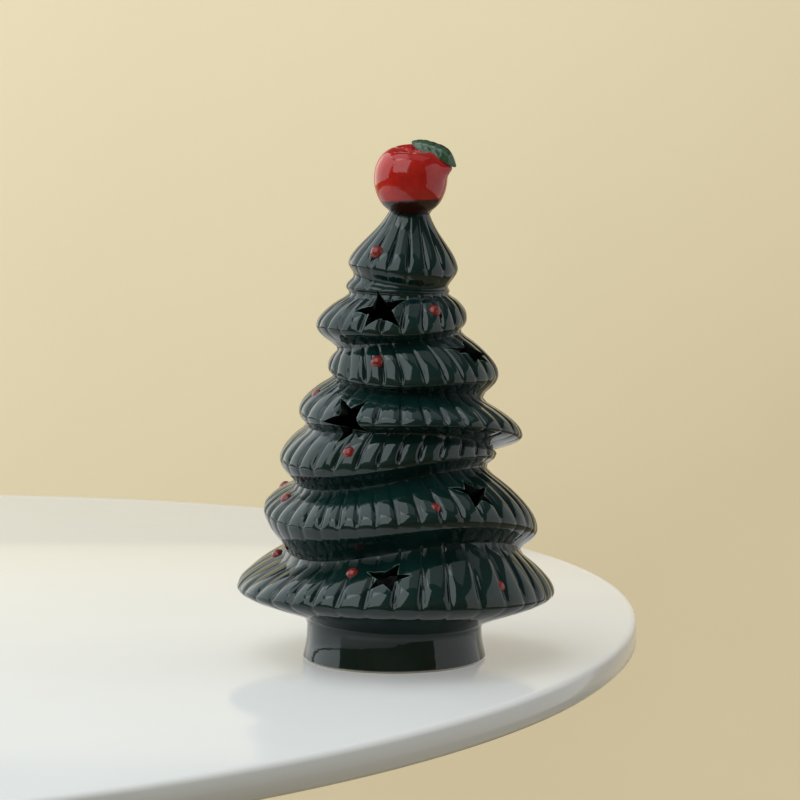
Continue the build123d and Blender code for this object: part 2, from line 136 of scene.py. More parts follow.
def casting_rows(phi):
    """Rows of the casting, from the neck down the outside and up the inside.

    Returns x, y, z, a mask of the ridges and the number of the first row inside.
    """
    rows = []
    for number in range(len(SKIRTS)):
        above = ring_above(number, phi)
        edge = skirt_ring(number, "edge", phi)
        tuck = skirt_ring(number, "tuck", phi)
        small = number == 1
        u = 1 - (1 - np.linspace(0, 1, 6 if small else 11, endpoint=False)) ** 1.35
        wave = pillow(number, phi, u)
        slope = band(above, edge, (0.15, 0.84) if number == 0 else (0.48, 1.01), (0.31, 0.69), u)
        # The top skirt is smooth at the neck, the others show their ribs from the crease on, and all the
        # ribs end like fingertips in a smooth rolled lip
        swell = 0.04 + 0.96 * ease(0.15, 0.9, u) if number == 0 else 0.26 + 0.74 * ease(0.05, 0.85, u)
        swell = (swell * (1 - 0.82 * ease(0.80, 0.98, u)))[:, None]
        slope[1] = slope[1] + FLUTE_DEPTH * swell * wave
        # The row in the crease is drawn in, which the smoothing below spreads over its neighbours
        slope[1][0] = slope[1][0] - CREASE * (number > 1)
        slope[2] = slope[2] + 0.5 * FLUTE_DEPTH * swell * wave
        rows.append((*slope, swell * (wave + 0.3)))
        u = np.linspace(0, 1, 3 if small else 5, endpoint=False) ** 1.3
        wave = pillow(number, phi, np.ones(len(u)))
        under = band(edge, tuck, (0.02, 0.45), (0.30, 0.62), u)
        fade = 1 - ease(0.0, 0.6, u)[:, None]
        under[1] = under[1] + 0.18 * FLUTE_DEPTH * fade * wave
        under[2] = under[2] - SCALLOP * fade * ease(0.0, 0.2, u)[:, None] * wave
        rows.append((*under, 0.2 * fade * (wave + 0.3)))
    flat = 0 * phi
    junction = skirt_ring(len(SKIRTS) - 1, "tuck", phi)
    waist = (0.0, FOOT_WAIST, 0.62 * FOOT_HEIGHT + flat)
    low = (0.0, FOOT_RADIUS, FOOT_CHAMFER + flat)
    for start, end, count in ((junction, waist, 4), (waist, low, 7)):
        u = np.linspace(0, 1, count, endpoint=False)
        rows.append((*band(start, end, (0.05, 0.6), (0.33, 0.67), u), np.zeros((count, 1)) + flat))
    stack = [np.concatenate([row[k] for row in rows]) for k in range(4)]
    for k in range(3):
        for sweep in range(SMOOTHINGS):
            stack[k][1:-1] = 0.25 * stack[k][:-2] + 0.5 * stack[k][1:-1] + 0.25 * stack[k][2:]
    inside = [(0.0, FOOT_RADIUS, FOOT_CHAMFER), (0.0, FOOT_RADIUS - FOOT_CHAMFER, 0.0),
              (0.0, FOOT_BORE + BORE_CHAMFER, 0.0), (0.0, FOOT_BORE, BORE_CHAMFER),
              (0.0, FOOT_BORE, 0.65 * FOOT_HEIGHT)]
    inside = [(shift, reach, height + flat) for shift, reach, height in inside]
    inside.append((0.0, FOOT_BORE + WALL / 4, junction[2] + WALL))
    for number in reversed(range(len(SKIRTS))):
        if number == 1:
            continue
        edge = skirt_ring(number, "edge", phi)
        tuck = skirt_ring(number, "tuck", phi)
        if number < len(SKIRTS) - 1:
            inside.append((tuck[0], tuck[1] - 0.9 * WALL, tuck[2] + 0.45 * WALL))
        inside.append((edge[0], edge[1] - 1.4 * WALL, edge[2] + 0.35 * WALL))
    inside.append((NECK_SHIFT, NECK_RADIUS / 2, TREE_HEIGHT - 2 * WALL + flat))
    stack[0] = np.concatenate([stack[0], [shift + flat for shift, reach, height in inside]])
    stack[1] = np.concatenate([stack[1], [reach + flat for shift, reach, height in inside]])
    stack[2] = np.concatenate([stack[2], [height for shift, reach, height in inside]])
    stack[3] = np.concatenate([stack[3], [flat for ring in inside]])
    shift, reach, height, ridge = stack
    return shift + reach * np.cos(phi), reach * np.sin(phi), height, ridge, len(shift) - len(inside) + 3


def grid_faces(rows, columns):
    """Quads between neighbouring rows of a grid, wrapping around its columns."""
    row = np.arange(rows - 1)[:, None]
    column = np.arange(columns)[None, :]
    following = (column + 1) % columns
    corners = (row * columns + column, (row + 1) * columns + column,
               (row + 1) * columns + following, row * columns + following)
    return np.stack(np.broadcast_arrays(*corners), axis=-1).reshape(-1, 4)


def fan_faces(centre, ring, upward):
    """Triangles from a centre point to a ring of points, facing up or down."""
    ahead = np.roll(ring, -1)
    middle = np.full_like(ring, centre)
    return np.stack([middle, ring, ahead] if upward else [middle, ahead, ring], axis=-1)


def add_piece(name, points, faces):
    """A smooth-shaded mesh object at the origin from an array of points and lists of faces."""
    mesh = bpy.data.meshes.new(name)
    mesh.from_pydata(points, [], [face for part in faces for face in part.tolist()])
    mesh.shade_smooth()
    piece = bpy.data.objects.new(name, mesh)
    bpy.context.scene.collection.objects.link(piece)
    return piece


turn = np.linspace(0, 2 * np.pi, AROUND, endpoint=False)
x, y, z, ridge, first_inside = casting_rows(turn)
row_count = len(x)
points = np.stack([x, y, z], axis=-1).reshape(-1, 3)
top_centre = points[:AROUND].mean(axis=0)
hollow_centre = points[-AROUND:].mean(axis=0)
points = np.concatenate([points, [top_centre, hollow_centre]])
last_ring = np.arange((row_count - 1) * AROUND, row_count * AROUND)
casting = add_piece("tree_casting", points, [
    grid_faces(row_count, AROUND),
    fan_faces(len(points) - 2, np.arange(AROUND), True),
    fan_faces(len(points) - 1, last_ring, False),
])
ridge_layer = casting.data.attributes.new("ridge", "FLOAT", "POINT")
ridge_layer.data.foreach_set("value", np.concatenate([ridge.ravel(), [0, 0]]).astype(np.float32))

# Knife-cut stars: on a skirt, at an angle and a share of its slope, in a plane that leans from the slope
# towards upright by some degrees; the middle and the tips are millimetres across and up in that plane.
SEEN_STARS = [
    (2, -103, 0.41, 0, (-0.6, 0.2), [(-11.1, 0.0), (-5.7, -8.0), (8.3, -7.2), (8.3, 6.7), (-3.0, 9.3)]),
    (3, -31, 0.42, 0, (0.9, -0.8), [(-11.0, 3.8), (-3.5, -6.6), (6.6, -7.2), (10.3, -3.0), (2.2, 5.9)]),
    (4, -124, 0.92, 42, (1.6, 0.8), [(-12.0, -0.8), (-5.5, -8.8), (7.4, -3.7), (3.7, 9.0), (-8.0, 8.6)]),
    (6, -52, 0.45, 0, (1.1, -2.2), [(-7.9, 2.6), (-3.2, -9.1), (8.0, -10.2), (8.5, 0.7), (0.0, 4.9)]),
    (7, -95, 0.50, 0, (0.2, 0.9), [(-7.7, 4.8), (-7.0, -4.6), (2.3, -5.7), (9.4, 1.9), (4.2, 7.9)]),
]
BACK_STARS = [(2, 48, 0.50, -6), (3, 128, 0.50, 10), (4, 62, 0.52, 16), (6, 118, 0.46, -14), (7, 78, 0.42, 5)]
STAR_RADIUS = 9.2
NOTCH_SHARE = 0.52
KNIFE_REACH = 0.011
THIN_AND_HIGHLIGHT_WIDTH = 0.0004
MILLIMETRE = 0.001


def slope_axes(number, azimuth, share, lean=0):
    """Origin and three unit axes on a skirt's slope: across, up the slope, and out of it.

    The last two are leant towards upright by some degrees.
    """
    phi = np.array([np.radians(azimuth)])
    outward = np.array([np.cos(phi[0]), np.sin(phi[0]), 0])
    ends = []
    for shift, reach, height in (ring_above(number, phi), skirt_ring(number, "edge", phi)):
        ends.append(outward * reach + np.array([shift, 0, height[0]]))
    fall = ends[1] - ends[0]
    facing = outward * -fall[2] + np.array([0, 0, fall @ outward])
    facing = facing / np.linalg.norm(facing)
    across = np.array([-outward[1], outward[0], 0])
    up = np.cross(facing, across)
    facing = facing * np.cos(np.radians(lean)) - up * np.sin(np.radians(lean))
    return ends[0] + fall * share, across, np.cross(facing, across), facing


def star_outline(middle, tips):
    """Ten corners of a cut star: its tips, and between each two a notch, a share of the way out."""
    tips = np.array(tips)
    notches = middle + NOTCH_SHARE * ((tips + np.roll(tips, -1, axis=0)) / 2 - middle)
    return np.stack([tips, notches], axis=1).reshape(-1, 2)


def mottle_group():
    """Node group: a noise in the piece's own metres lies between 0 and 1 and picks a colour and a roughness.

    Grain is the noise's scale; a second noise of four times that scale gives the height of the ripple.
    """
    group = bpy.data.node_groups.new("mottle", "ShaderNodeTree")
    for name, kind in (("Grain", "Float"), ("Pooled", "Color"), ("Thin", "Color"), ("Gloss", "Float"),
                       ("Dullness", "Float")):
        group.interface.new_socket(name, in_out="INPUT", socket_type=f"NodeSocket{kind}")
    for name, kind in (("Colour", "Color"), ("Roughness", "Float"), ("Height", "Float")):
        group.interface.new_socket(name, in_out="OUTPUT", socket_type=f"NodeSocket{kind}")
    nodes = group.nodes
    links = group.links
    values = nodes.new("NodeGroupInput")
    results = nodes.new("NodeGroupOutput")
    place = nodes.new("ShaderNodeTexCoord")
    coarse = nodes.new("ShaderNodeTexNoise")
    coarse.inputs["Detail"].default_value = 4.0
    fine_scale = nodes.new("ShaderNodeMath")
    fine_scale.operation = "MULTIPLY"
    fine_scale.inputs[1].default_value = 4.0
    fine = nodes.new("ShaderNodeTexNoise")
    spread = nodes.new("ShaderNodeMapRange")
    spread.inputs["From Min"].default_value = 0.3
    spread.inputs["From Max"].default_value = 0.7
    colour = nodes.new("ShaderNodeMix")
    colour.data_type = "RGBA"
    dullness = nodes.new("ShaderNodeMapRange")
    links.new(place.outputs["Object"], coarse.inputs["Vector"])
    links.new(place.outputs["Object"], fine.inputs["Vector"])
    links.new(values.outputs["Grain"], coarse.inputs["Scale"])
    links.new(values.outputs["Grain"], fine_scale.inputs[0])
    links.new(fine_scale.outputs["Value"], fine.inputs["Scale"])
    links.new(coarse.outputs["Fac"], spread.inputs["Value"])
    links.new(spread.outputs["Result"], colour.inputs["Factor"])
    links.new(values.outputs["Pooled"], colour.inputs["A"])
    links.new(values.outputs["Thin"], colour.inputs["B"])
    links.new(spread.outputs["Result"], dullness.inputs["Value"])
    links.new(values.outputs["Gloss"], dullness.inputs["To Min"])
    links.new(values.outputs["Dullness"], dullness.inputs["To Max"])
    links.new(colour.outputs["Result"], results.inputs["Colour"])
    links.new(dullness.outputs["Result"], results.inputs["Roughness"])
    links.new(fine.outputs["Fac"], results.inputs["Height"])
    return group


mottle = mottle_group()


def new_finish(name, grain, pooled, thin, gloss, dullness, bump):
    """A material with the mottle group's colour, roughness and ripple; bump is the ripple in millimetres."""
    material = bpy.data.materials.new(name)
    material.use_nodes = True
    nodes = material.node_tree.nodes
    links = material.node_tree.links
    shader = nodes["Principled BSDF"]
    speck = nodes.new("ShaderNodeGroup")
    speck.node_tree = mottle
    speck.inputs["Grain"].default_value = grain
    speck.inputs["Pooled"].default_value = (*pooled, 1)
    speck.inputs["Thin"].default_value = (*thin, 1)
    speck.inputs["Gloss"].default_value = gloss
    speck.inputs["Dullness"].default_value = dullness
    ripple = nodes.new("ShaderNodeBump")
    ripple.inputs["Distance"].default_value = MILLIMETRE * bump
    links.new(speck.outputs["Colour"], shader.inputs["Base Color"])
    links.new(speck.outputs["Roughness"], shader.inputs["Roughness"])
    links.new(speck.outputs["Height"], ripple.inputs["Height"])
    links.new(ripple.outputs["Normal"], shader.inputs["Normal"])
    return material


def base_colour(material):
    """The output that feeds a material's base colour."""
    return material.node_tree.nodes["Principled BSDF"].inputs["Base Color"].links[0].from_socket


def overlay(material, mask, colour, share=1.0):
    """Lays a colour over a material's base colour where a mask output is 1, up to a share."""
    nodes = material.node_tree.nodes
    links = material.node_tree.links
    limit = nodes.new("ShaderNodeMath")
    limit.operation = "MULTIPLY"
    limit.use_clamp = True
    limit.inputs[1].default_value = share
    links.new(mask, limit.inputs[0])
    over = nodes.new("ShaderNodeMix")
    over.data_type = "RGBA"
    over.inputs["B"].default_value = (*colour, 1)
    links.new(limit.outputs["Value"], over.inputs["Factor"])
    links.new(base_colour(material), over.inputs["A"])
    links.new(over.outputs["Result"], nodes["Principled BSDF"].inputs["Base Color"])


def attribute_mask(material, name, low, high):
    """A mask that rises from 0 to 1 as a mesh attribute goes from low to high."""
    nodes = material.node_tree.nodes
    layer = nodes.new("ShaderNodeAttribute")
    layer.attribute_name = name
    reach = nodes.new("ShaderNodeMapRange")
    reach.inputs["From Min"].default_value = low
    reach.inputs["From Max"].default_value = high
    material.node_tree.links.new(layer.outputs["Fac"], reach.inputs["Value"])
    return reach.outputs["Result"]


def place_mask(material, weights, low, high):
    """A mask that rises from 0 to 1 as a weighted sum of x, y and z, in metres, goes from low to high."""
    nodes = material.node_tree.nodes
    links = material.node_tree.links
    place = nodes.new("ShaderNodeTexCoord")
    weigh = nodes.new("ShaderNodeVectorMath")
    weigh.operation = "DOT_PRODUCT"
    weigh.inputs[1].default_value = weights
    reach = nodes.new("ShaderNodeMapRange")
    reach.inputs["From Min"].default_value = low
    reach.inputs["From Max"].default_value = high
    links.new(place.outputs["Object"], weigh.inputs[0])
    links.new(weigh.outputs["Value"], reach.inputs["Value"])
    return reach.outputs["Result"]


star_frames = []
for number, azimuth, share, leaning, middle, tips in SEEN_STARS:
    outline = MILLIMETRE * star_outline(np.array(middle), tips)
    star_frames.append((slope_axes(number, azimuth, share, leaning), outline))
for number, azimuth, share, spin in BACK_STARS:
    angles = np.radians(spin + 90 + 72 * np.arange(5))
    tips = STAR_RADIUS * np.stack([np.cos(angles), np.sin(angles)], axis=-1)
    outline = MILLIMETRE * star_outline(np.zeros(2), tips)
    star_frames.append((slope_axes(number, azimuth, share), outline))

cutter_points = []
cutter_faces = []
ring = np.arange(10)
ahead = np.roll(ring, -1)
for (origin, across, up, facing), outline in star_frames:
    base = len(ring) * len(cutter_points)
    flat_star = origin + outline[:, :1] * across + outline[:, 1:] * up
    cutter_points += [flat_star - KNIFE_REACH * facing, flat_star + KNIFE_REACH * facing]
    sides = np.stack([ring, ahead, ahead + len(ring), ring + len(ring)], axis=-1) + base
    cutter_faces += [*sides.tolist(), (ring[::-1] + base).tolist(), (ring + len(ring) + base).tolist()]
cutter_mesh = bpy.data.meshes.new("star_knife")
cutter_mesh.from_pydata(np.concatenate(cutter_points), [], cutter_faces)
# Two finishes: 0 is the glaze, 1 the dark hollow and the cut walls of the stars
glaze = new_finish("green_glaze", 60.0, (0.0018, 0.012, 0.0108), (0.0042, 0.022, 0.019), 0.03, 0.08, 0.05)
overlay(glaze, attribute_mask(glaze, "ridge", 0.10, 0.60), (0.012, 0.040, 0.033), 0.50)
# Pale star edges: partly thin glaze, partly a painted highlight along the cut corners
overlay(glaze, attribute_mask(glaze, "thin", 0.70, 1.0), (0.10, 0.19, 0.145))
overlay(glaze, place_mask(glaze, (0, 0, -1), -0.0009, -0.0007), (0.62, 0.55, 0.43))
hollow = new_finish("dark_hollow", 150.0, (0.003, 0.004, 0.004), (0.008, 0.011, 0.010), 0.45, 0.60, 0.05)
for mesh in (casting.data, cutter_mesh):
    mesh.materials.append(glaze)
    mesh.materials.append(hollow)
casting_faces = len(casting.data.polygons)
finish_index = np.zeros(casting_faces, dtype=np.int32)
finish_index[first_inside * AROUND:(row_count - 1) * AROUND] = 1
finish_index[casting_faces - AROUND:] = 1
casting.data.polygons.foreach_set("material_index", finish_index)
cutter_mesh.polygons.foreach_set("material_index", np.ones(len(cutter_mesh.polygons), dtype=np.int32))
cutter = bpy.data.objects.new("star_knife", cutter_mesh)
bpy.context.scene.collection.objects.link(cutter)
cut = casting.modifiers.new("stars", "BOOLEAN")
cut.operation = "DIFFERENCE"
cut.object = cutter
cut.solver = "EXACT"
cut_mesh = bpy.data.meshes.new_from_object(casting.evaluated_get(bpy.context.evaluated_depsgraph_get()))
casting.modifiers.clear()
casting.data = cut_mesh
cut_mesh.set_sharp_from_angle(angle=np.radians(55))
bpy.data.objects.remove(cutter)

# Where the glaze is thin, with a painted highlight: on the corners that the star knife left
places = np.empty(3 * len(cut_mesh.vertices), dtype=np.float32)
cut_mesh.vertices.foreach_get("co", places)
places = places.reshape(-1, 3)
thin = np.zeros(len(places))
for (origin, across, up, facing), outline in star_frames:
    local = np.stack([(places - origin) @ across, (places - origin) @ up], axis=-1)
    near = np.abs((places - origin) @ facing) < KNIFE_REACH
    gap = np.full(len(places), 1.0)
    for start, end in zip(outline, np.roll(outline, -1, axis=0)):
        side = end - start
        along = np.clip(((local - start) @ side) / (side @ side), 0, 1)
        gap = np.minimum(gap, np.linalg.norm(local - start - along[:, None] * side, axis=1))
    thin = np.maximum(thin, np.where(near, 1 - np.clip(gap / THIN_AND_HIGHLIGHT_WIDTH, 0, 1), 0))
thin_and_highlight_layer = cut_mesh.attributes.new("thin", "FLOAT", "POINT")
thin_and_highlight_layer.data.foreach_set("value", thin.astype(np.float32))
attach(casting, "tree")
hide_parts("tree_shell")

# Apple: a modelled clay fruit stuck to the neck with slip, leaning well to the front. Its red gloss
# glaze stops at a slanting dark maroon band, and its left side is painted a lighter orange as painted light.
APPLE_RADIUS = 0.0142
APPLE_HEIGHT = 0.027
APPLE_TILT = np.radians(18)
APPLE_SET_BACK = 0.002
APPLE_ASIDE = 0.0004
APPLE_BULGE = 0.0027
DIMPLE_CREASE = 0.0006
APPLE_AROUND = 96
# Its side from the base to the dimple: shares of the radius and of the height
APPLE_SHARES = [(0.42, -0.08), (0.60, 0.08), (0.81, 0.20), (0.95, 0.36), (1.00, 0.54), (0.94, 0.75),
                (0.76, 0.92), (0.52, 1.00), (0.28, 0.975), (0.10, 0.93), (0.0, 0.92)]


def curve_through(shares, steps):
    """Catmull-Rom curve: each span is a cubic whose end slopes are half the chord between its neighbours."""
    knots = np.array(shares)
    ends = np.concatenate([[2 * knots[0] - knots[1]], knots, [2 * knots[-1] - knots[-2]]])
    t = np.linspace(0, 1, steps, endpoint=False)[None, :, None]
    before, start, end, after = (ends[k:len(ends) - 3 + k, None, :] for k in range(4))
    spans = start + 0.5 * t * (end - before + t * (2 * before - 5 * start + 4 * end - after
                                                   + t * (3 * (start - end) + after - before)))
    return np.concatenate([spans.reshape(-1, knots.shape[1]), knots[-1:]])


def lean(x, y, z):
    """From the fruit's own axes to the tree's: leaning about X towards the front, set on the neck."""
    back = y * np.cos(APPLE_TILT) - z * np.sin(APPLE_TILT)
    up = y * np.sin(APPLE_TILT) + z * np.cos(APPLE_TILT)
    return np.stack([x + NECK_SHIFT + APPLE_ASIDE, APPLE_SET_BACK + back, TREE_HEIGHT + up], axis=-1)


def fruit_surface(phi):
    """Turned profile with a bulge exp(-a^2 - h^2) under the leaf's tip.

    a is the angle from the leaf in steps of 0.30 and h the height from 0.75 in steps of 0.11. The shoulder
    is lower at the back left and the right, five shallow creases run into the dimple, and the base is flat
    on the neck.
    """
    side = curve_through(APPLE_SHARES, 8)[::-1]
    r = side[:, :1] * APPLE_RADIUS
    z = side[:, 1:] * APPLE_HEIGHT
    shoulder = ease(0.50, 0.95, side[:, 1:])
    lower = 0.035 * (0.5 + 0.5 * np.cos(phi - 2.4)) + 0.045 * np.maximum(np.cos(phi + 0.3), 0) ** 2
    away = np.mod(phi + 0.12 + np.pi, 2 * np.pi) - np.pi
    bulge = np.exp(-(away / 0.30) ** 2 - ((side[:, 1:] - 0.75) / 0.11) ** 2) * (side[:, :1] > 0.6)
    r = r + APPLE_BULGE * bulge
    z = z * (1 - lower * shoulder * ease(0.1, 0.5, side[:, :1]))
    creases = (0.5 + 0.5 * np.cos(5 * phi + 0.8)) ** 3 * np.exp(-((side[:, :1] - 0.34) / 0.20) ** 2)
    z = z - DIMPLE_CREASE * creases * (side[:, 1:] > 0.8)
    places = lean(r * np.cos(phi), r * np.sin(phi), z + 0 * phi)
    places[..., 2] = np.maximum(places[..., 2], TREE_HEIGHT)
    return places


fruit_turn = np.linspace(0, 2 * np.pi, APPLE_AROUND, endpoint=False)
skin = fruit_surface(fruit_turn)
skin_rows = len(skin)
skin_points = np.concatenate([skin.reshape(-1, 3), [skin[0].mean(axis=0), skin[-1].mean(axis=0)]])
apple = add_piece("apple_fruit", skin_points, [
    grid_faces(skin_rows, APPLE_AROUND),
    fan_faces(len(skin_points) - 2, np.arange(APPLE_AROUND), True),
    fan_faces(len(skin_points) - 1, np.arange(APPLE_AROUND) + (skin_rows - 1) * APPLE_AROUND, False),
])
apple_glaze = new_finish("apple_glaze", 200.0, (0.42, 0.008, 0.007), (0.54, 0.018, 0.011), 0.05, 0.10, 0.03)
# Painted light: the apple's left side is painted a paler orange, as if lit from the left
overlay(apple_glaze, place_mask(apple_glaze, (-1, 0, 0), 0.0040, 0.0082), (0.52, 0.085, 0.012), 0.6)
overlay(apple_glaze, place_mask(apple_glaze, (0.045, 0, -1), -0.1783, -0.1777), (0.030, 0.006, 0.004))
apple.data.materials.append(apple_glaze)
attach(apple, "tree")
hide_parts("apple")

# Leaf: a pinched strip of clay laid over the apple's shoulder while wet, with a raised midrib and
# veins, under a green glaze that is paler than the tree's. Its pale midrib is a painted highlight.
LEAF_LENGTH = 0.018
LEAF_WIDTH = 0.0062
LEAF_THICK = 0.0015
LEAF_TURN = np.radians(-23)
LEAF_OFFSET = 0.0048
LEAF_LEAN = 0.38
LEAF_CROWN = 0.30
LEAF_AROUND = 64
# The midrib lies a little to the front of the leaf's middle
RIB_ASIDE = 0.0009
RIB_WIDTH = 0.00045
RIB_HEIGHT = 0.00045
VEIN_HEIGHT = 0.00012
LEAF_START = -0.11 * APPLE_RADIUS
# The middle of the leaf's thickness along its length and up
LEAF_SPINE = [(LEAF_START, 1.030 * APPLE_HEIGHT), (LEAF_START + 0.35 * LEAF_LENGTH, 0.998 * APPLE_HEIGHT),
              (LEAF_START + 0.75 * LEAF_LENGTH, 0.925 * APPLE_HEIGHT),
              (LEAF_START + 1.02 * LEAF_LENGTH, 0.745 * APPLE_HEIGHT)]


def leaf_surface(phi):
    """A lens section, wide by 1 - |2s - 1|^3 and thin at its edges, carried along the spine.

    It is lower at the front by a share of the way across and crowned along its middle, and its upper side
    has a raised midrib and oblique veins. Returned with it is a mask of the midrib.
    """
    spine = curve_through(LEAF_SPINE, 16)
    s = np.linspace(0, 1, len(spine))[:, None]
    half = 0.5 * LEAF_WIDTH * (1 - np.abs(2 * s - 1) ** 3) + 0.0005
    thick = 0.5 * LEAF_THICK * (1 - np.abs(2 * s - 1) ** 4) + 0.00015
    across = half * np.cos(phi)
    upper = (np.sin(phi) > 0) * np.sin(np.pi * s)
    midrib = np.exp(-((across + RIB_ASIDE) / RIB_WIDTH) ** 2) * upper
    vein = VEIN_HEIGHT * np.sin(44 * s - 5.0 * np.abs(np.cos(phi))) * upper * (1 - np.cos(phi) ** 4)
    rise = thick * np.sin(phi) + RIB_HEIGHT * midrib + vein
    rise = rise + LEAF_LEAN * across - LEAF_CROWN * across ** 2 / LEAF_WIDTH
    along = spine[:, :1] + 0 * phi
    aside = LEAF_OFFSET + across
    x = along * np.cos(LEAF_TURN) - aside * np.sin(LEAF_TURN)
    y = along * np.sin(LEAF_TURN) + aside * np.cos(LEAF_TURN)
    return lean(x, y, spine[:, 1:] + rise), midrib


blade_turn = np.linspace(0, 2 * np.pi, LEAF_AROUND, endpoint=False)
blade, midrib = leaf_surface(blade_turn)
blade_points = np.concatenate([blade.reshape(-1, 3), [blade[0].mean(axis=0), blade[-1].mean(axis=0)]])
leaf = add_piece("apple_leaf_blade", blade_points, [
    grid_faces(len(blade), LEAF_AROUND)[:, ::-1],
    fan_faces(len(blade_points) - 2, np.arange(LEAF_AROUND), False),
    fan_faces(len(blade_points) - 1, np.arange(LEAF_AROUND) + (len(blade) - 1) * LEAF_AROUND, True),
])
leaf_glaze = new_finish("leaf_glaze", 300.0, (0.018, 0.052, 0.024), (0.055, 0.115, 0.052), 0.05, 0.10, 0.03)
# Painted highlight: a pale green line laid along the raised midrib
overlay(leaf_glaze, attribute_mask(leaf_glaze, "midrib", 0.2, 0.9), (0.16, 0.25, 0.16), 0.7)
midrib_highlight_layer = leaf.data.attributes.new("midrib", "FLOAT", "POINT")
midrib_highlight_layer.data.foreach_set("value", np.concatenate([midrib.ravel(), [0, 0]]).astype(np.float32))
leaf.data.materials.append(leaf_glaze)
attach(leaf, "tree")
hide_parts("apple_leaf")

# Berries: balls of clay pressed into flat seats on the skirts, dotted with a red gloss glaze that
# turns dark where it meets the green.
BERRY_RADIUS = 0.0027
BERRY_SEAT = 0.0009
BERRY_AROUND = 24
BERRY_ROWS = 12
# Each berry: its skirt, its angle in degrees and its share of the way down the slope
BERRIES = [
    (0, -126, 0.74), (2, -54, 0.46), (3, -112, 0.46), (4, -166, 0.50), (5, -114, 0.55), (6, -160, 0.42),
    (6, -74, 0.73), (7, -177, 0.20), (7, -111, 0.30), (7, -49, 0.69), (0, 65, 0.62), (2, 140, 0.50),
    (3, 55, 0.50), (4, 112, 0.55), (5, 85, 0.55), (6, 75, 0.50), (6, 160, 0.60), (7, 28, 0.45),
    (7, 112, 0.40), (7, 142, 0.60),
]
berry_glaze = new_finish("berry_glaze", 500.0, (0.17, 0.012, 0.010), (0.29, 0.028, 0.022), 0.05, 0.10, 0.02)
overlay(berry_glaze, attribute_mask(berry_glaze, "sunk", 0.0, 1.0), (0.020, 0.008, 0.006))
berry_turn = np.linspace(0, 2 * np.pi, BERRY_AROUND, endpoint=False)
berry_tilt = np.linspace(0.12, 0.98, BERRY_ROWS)[:, None] * np.arccos(-BERRY_SEAT / BERRY_RADIUS)
for count, (number, azimuth, share) in enumerate(BERRIES, start=1):
    origin, across, up, facing = slope_axes(number, azimuth, share)
    # A ball cut flat at its seat, slightly lumpy: r = R (1 + 0.02 sin 3 phi sin tilt)
    lumpy = BERRY_RADIUS * (1 + 0.02 * np.sin(3 * berry_turn + count) * np.sin(berry_tilt))
    rise = lumpy * np.cos(berry_tilt)
    out = lumpy * np.sin(berry_tilt)
    ball = origin + (out * np.cos(berry_turn))[..., None] * across
    ball = ball + (out * np.sin(berry_turn))[..., None] * up + rise[..., None] * facing
    crown = origin + BERRY_RADIUS * facing
    foot = origin - BERRY_SEAT * facing
    ball_points = np.concatenate([ball.reshape(-1, 3), [crown, foot]])
    bead = add_piece(f"bead_{count:02d}", ball_points, [
        grid_faces(BERRY_ROWS, BERRY_AROUND),
        fan_faces(len(ball_points) - 2, np.arange(BERRY_AROUND), True),
        fan_faces(len(ball_points) - 1, np.arange(BERRY_AROUND) + (BERRY_ROWS - 1) * BERRY_AROUND, False),
    ])
    sunk = 1 - ease(0.0002, 0.0011, np.concatenate([rise.ravel(), [BERRY_RADIUS, -BERRY_SEAT]]))
    sunk_layer = bead.data.attributes.new("sunk", "FLOAT", "POINT")
    sunk_layer.data.foreach_set("value", sunk.astype(np.float32))
    bead.data.materials.append(berry_glaze)
    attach(bead, "tree")
    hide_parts(f"berry_{count:02d}")

# Light unit: a round moulded case with a frosted dome, held in the foot by a silicone ring.
# Its nodes keep their own shapes; each finish is a moulded, drawn or printed surface.
UNIT_FINISHES = {
    # slot: darker colour, paler colour, grain per metre, gloss, dullness, ripple in millimetres, metal
    "unit_plastic": ((0.70, 0.69, 0.66), (0.76, 0.75, 0.72), 900.0, 0.38, 0.50, 0.020, 0.0),
    "dome_plastic": ((0.80, 0.80, 0.77), (0.86, 0.85, 0.82), 700.0, 0.30, 0.42, 0.012, 0.0),
    "silicone": ((0.45, 0.45, 0.44), (0.52, 0.52, 0.50), 500.0, 0.55, 0.70, 0.016, 0.0),
    "board": ((0.010, 0.070, 0.030), (0.016, 0.095, 0.042), 1500.0, 0.30, 0.42, 0.010, 0.0),
    "led_lens": ((0.80, 0.62, 0.20), (0.88, 0.72, 0.30), 1200.0, 0.12, 0.20, 0.006, 0.0),
    "cell_steel": ((0.58, 0.58, 0.57), (0.68, 0.68, 0.67), 2000.0, 0.24, 0.34, 0.008, 1.0),
    "contact_metal": ((0.55, 0.53, 0.48), (0.66, 0.63, 0.57), 2500.0, 0.22, 0.32, 0.008, 1.0),
    "screw_steel": ((0.42, 0.42, 0.43), (0.55, 0.55, 0.56), 2500.0, 0.26, 0.40, 0.012, 1.0),
    "switch_plastic": ((0.030, 0.030, 0.032), (0.045, 0.045, 0.047), 1200.0, 0.40, 0.55, 0.016, 0.0),
}
unit_materials = {}
for finish, (dark, pale, grain, gloss, dullness, bump, metal) in UNIT_FINISHES.items():
    unit_materials[finish] = new_finish(finish, grain, dark, pale, gloss, dullness, bump)
    unit_materials[finish].node_tree.nodes["Principled BSDF"].inputs["Metallic"].default_value = metal
UNIT_SLOTS = {
    "light_housing": "unit_plastic", "base_cover": "unit_plastic", "battery_door": "unit_plastic",
    "grip_ring": "silicone", "diffuser_dome": "dome_plastic", "led_board": "board",
    "contact_minus": "contact_metal", "contact_plus": "contact_metal", "switch_body": "switch_plastic",
    "switch_slider": "switch_plastic", "door_screw": "screw_steel", "switch_pin_1": "contact_metal",
    "switch_pin_2": "contact_metal", "coin_cell_1": "cell_steel", "coin_cell_2": "cell_steel",
    "led_1": "led_lens", "led_2": "led_lens", "led_3": "led_lens", "led_4": "led_lens",
    "cover_screw_1": "screw_steel", "cover_screw_2": "screw_steel", "cover_screw_3": "screw_steel",
}
for node, finish in UNIT_SLOTS.items():
    for material_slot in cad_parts[node].material_slots:
        material_slot.material = unit_materials[finish]

